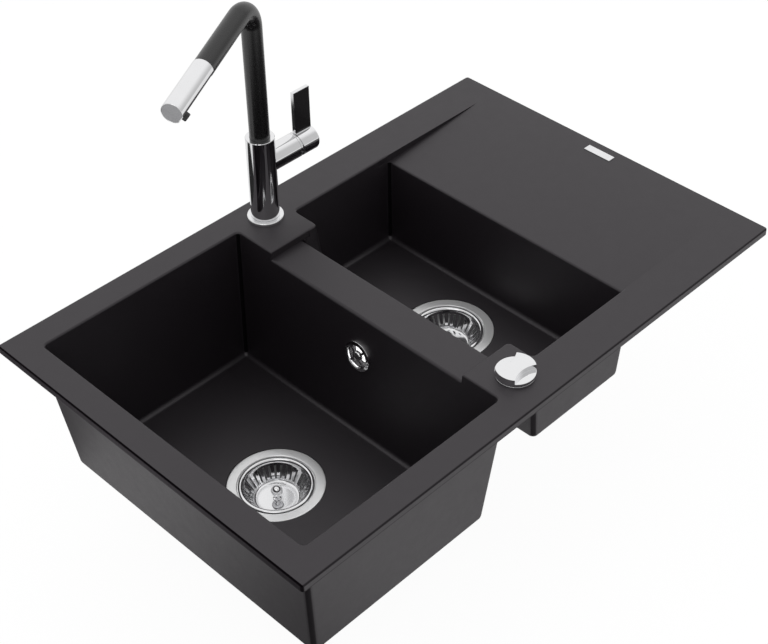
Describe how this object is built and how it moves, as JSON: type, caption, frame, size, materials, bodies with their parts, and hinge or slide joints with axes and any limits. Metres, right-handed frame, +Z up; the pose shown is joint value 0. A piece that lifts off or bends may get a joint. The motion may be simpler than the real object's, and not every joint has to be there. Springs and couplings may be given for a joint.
{
  "type": "one and a half bowl sink",
  "caption": "Inset sink of matt black composite with a deep main bowl, a half bowl, a sloped drainer, a single lever tap with a pull-out spray and a waste control knob.",
  "frame": {"origin": "middle of the deck seen from above, on the worktop plane (the rim's underside)", "axes": "+X from the main bowl towards the drainer, +Y towards the tap's side at the back, +Z up"},
  "size_m": [0.785, 0.505, 0.5899],
  "materials": {
    "sink": "matt dark composite, finely grained",
    "rubber": "matt",
    "badge": "bright, bare",
    "steel": "brushed",
    "bright_steel": "polished",
    "chrome": "polished",
    "black_plastic": "satin",
    "grey_plastic": "satin",
    "white_plastic": "satin",
    "brass": "machined",
    "black_paint": "matt black",
    "black_gloss": "gloss"
  },
  "bodies": {
    "sink": {"sink_casting": "sink", "rim_seal": "rubber", "badge_plate": "badge", "main_waste_flange": "steel", "main_waste_gasket": "rubber", "main_waste_body": "grey_plastic", "main_tie_screw": "bright_steel", "crank_cover": "black_plastic", "half_waste_flange": "steel", "half_waste_gasket": "rubber", "half_waste_body": "grey_plastic", "half_tie_screw": "bright_steel", "overflow_rosette": "chrome", "overflow_screw": "bright_steel", "overflow_gasket": "rubber", "overflow_elbow": "white_plastic", "overflow_hose": "grey_plastic", "control_base": "chrome", "control_gasket": "rubber", "control_nut": "grey_plastic", "control_housing": "black_plastic", "control_cable": "black_plastic", "tap_base_ring": "chrome", "tap_body": "chrome", "tap_shank": "brass", "tap_gasket": "rubber", "tap_washer": "steel", "tap_nut": "brass", "tap_cartridge": "white_plastic", "cartridge_nut": "brass", "lever_dome": "chrome"},
    "knob": {"control_knob": "chrome", "control_spindle": "steel"},
    "crank": {"lift_crank": "steel"},
    "pin": {"lift_pin": "bright_steel"},
    "main_strainer": {"main_basket": "bright_steel", "main_basket_post": "bright_steel", "main_basket_seal": "rubber"},
    "half_strainer": {"half_basket": "bright_steel", "half_basket_post": "bright_steel", "half_basket_seal": "rubber"},
    "spout": {"spout_bush": "white_plastic", "spout_tube": "black_paint"},
    "hose_end": {"spray_hose": "grey_plastic"},
    "spray": {"spray_head": "chrome", "spray_strip": "black_gloss", "spray_cap": "bright_steel", "spray_nozzle": "black_plastic"},
    "rotor": {"cartridge_rotor": "white_plastic"},
    "lever": {"lever_stem": "brass", "lever_hub": "chrome", "lever_inlay": "black_gloss", "lever_grub_screw": "steel"}
  },
  "joints": [
    {"name": "knob_turn", "type": "hinge", "parent": "sink", "child": "knob", "pos_m": [-0.024, -0.202, 0.01], "axis": [0, 0, 1], "range_deg": [0, 90]},
    {"name": "crank_turn", "type": "hinge", "parent": "sink", "child": "crank", "pos_m": [-0.19713, 0, -0.225], "axis": [0, 1, 0], "range_deg": [0, 40.05]},
    {"name": "pin_lift", "type": "slide", "parent": "sink", "child": "pin", "axis": [0, 0, 1], "range_m": [0, 0.01]},
    {"name": "main_strainer_lift_out", "type": "slide", "parent": "pin", "child": "main_strainer", "axis": [0, 0, 1], "range_m": [0, 0.25]},
    {"name": "half_strainer_lift_out", "type": "slide", "parent": "sink", "child": "half_strainer", "axis": [0, 0, 1], "range_m": [0, 0.2]},
    {"name": "spout_swivel", "type": "hinge", "parent": "sink", "child": "spout", "pos_m": [-0.0212, 0.2135, 0.12], "axis": [0, 0, 1], "range_deg": [-35, 165]},
    {"name": "spray_pull_out", "type": "slide", "parent": "spout", "child": "hose_end", "axis": [-0.9005, -0.4199, -0.1132], "range_m": [0, 0.06]},
    {"name": "spray_turn", "type": "hinge", "parent": "hose_end", "child": "spray", "pos_m": [-0.13826, 0.15891, 0.30128], "axis": [-0.9005, -0.4199, -0.1132], "continuous": true},
    {"name": "lever_temperature", "type": "hinge", "parent": "sink", "child": "rotor", "pos_m": [0.0338, 0.2135, 0.091], "axis": [1, 0, 0], "range_deg": [-50, 50]},
    {"name": "lever_flow", "type": "hinge", "parent": "rotor", "child": "lever", "pos_m": [0.0338, 0.2135, 0.091], "axis": [0, 1, 0], "range_deg": [0, 16]}
  ],
  "couplings": [
    {"joint": "crank_turn", "follows": "knob_turn", "ratio": 0.44504},
    {"joint": "pin_lift", "follows": "knob_turn", "m_per_rad": 0.00636}
  ]
}
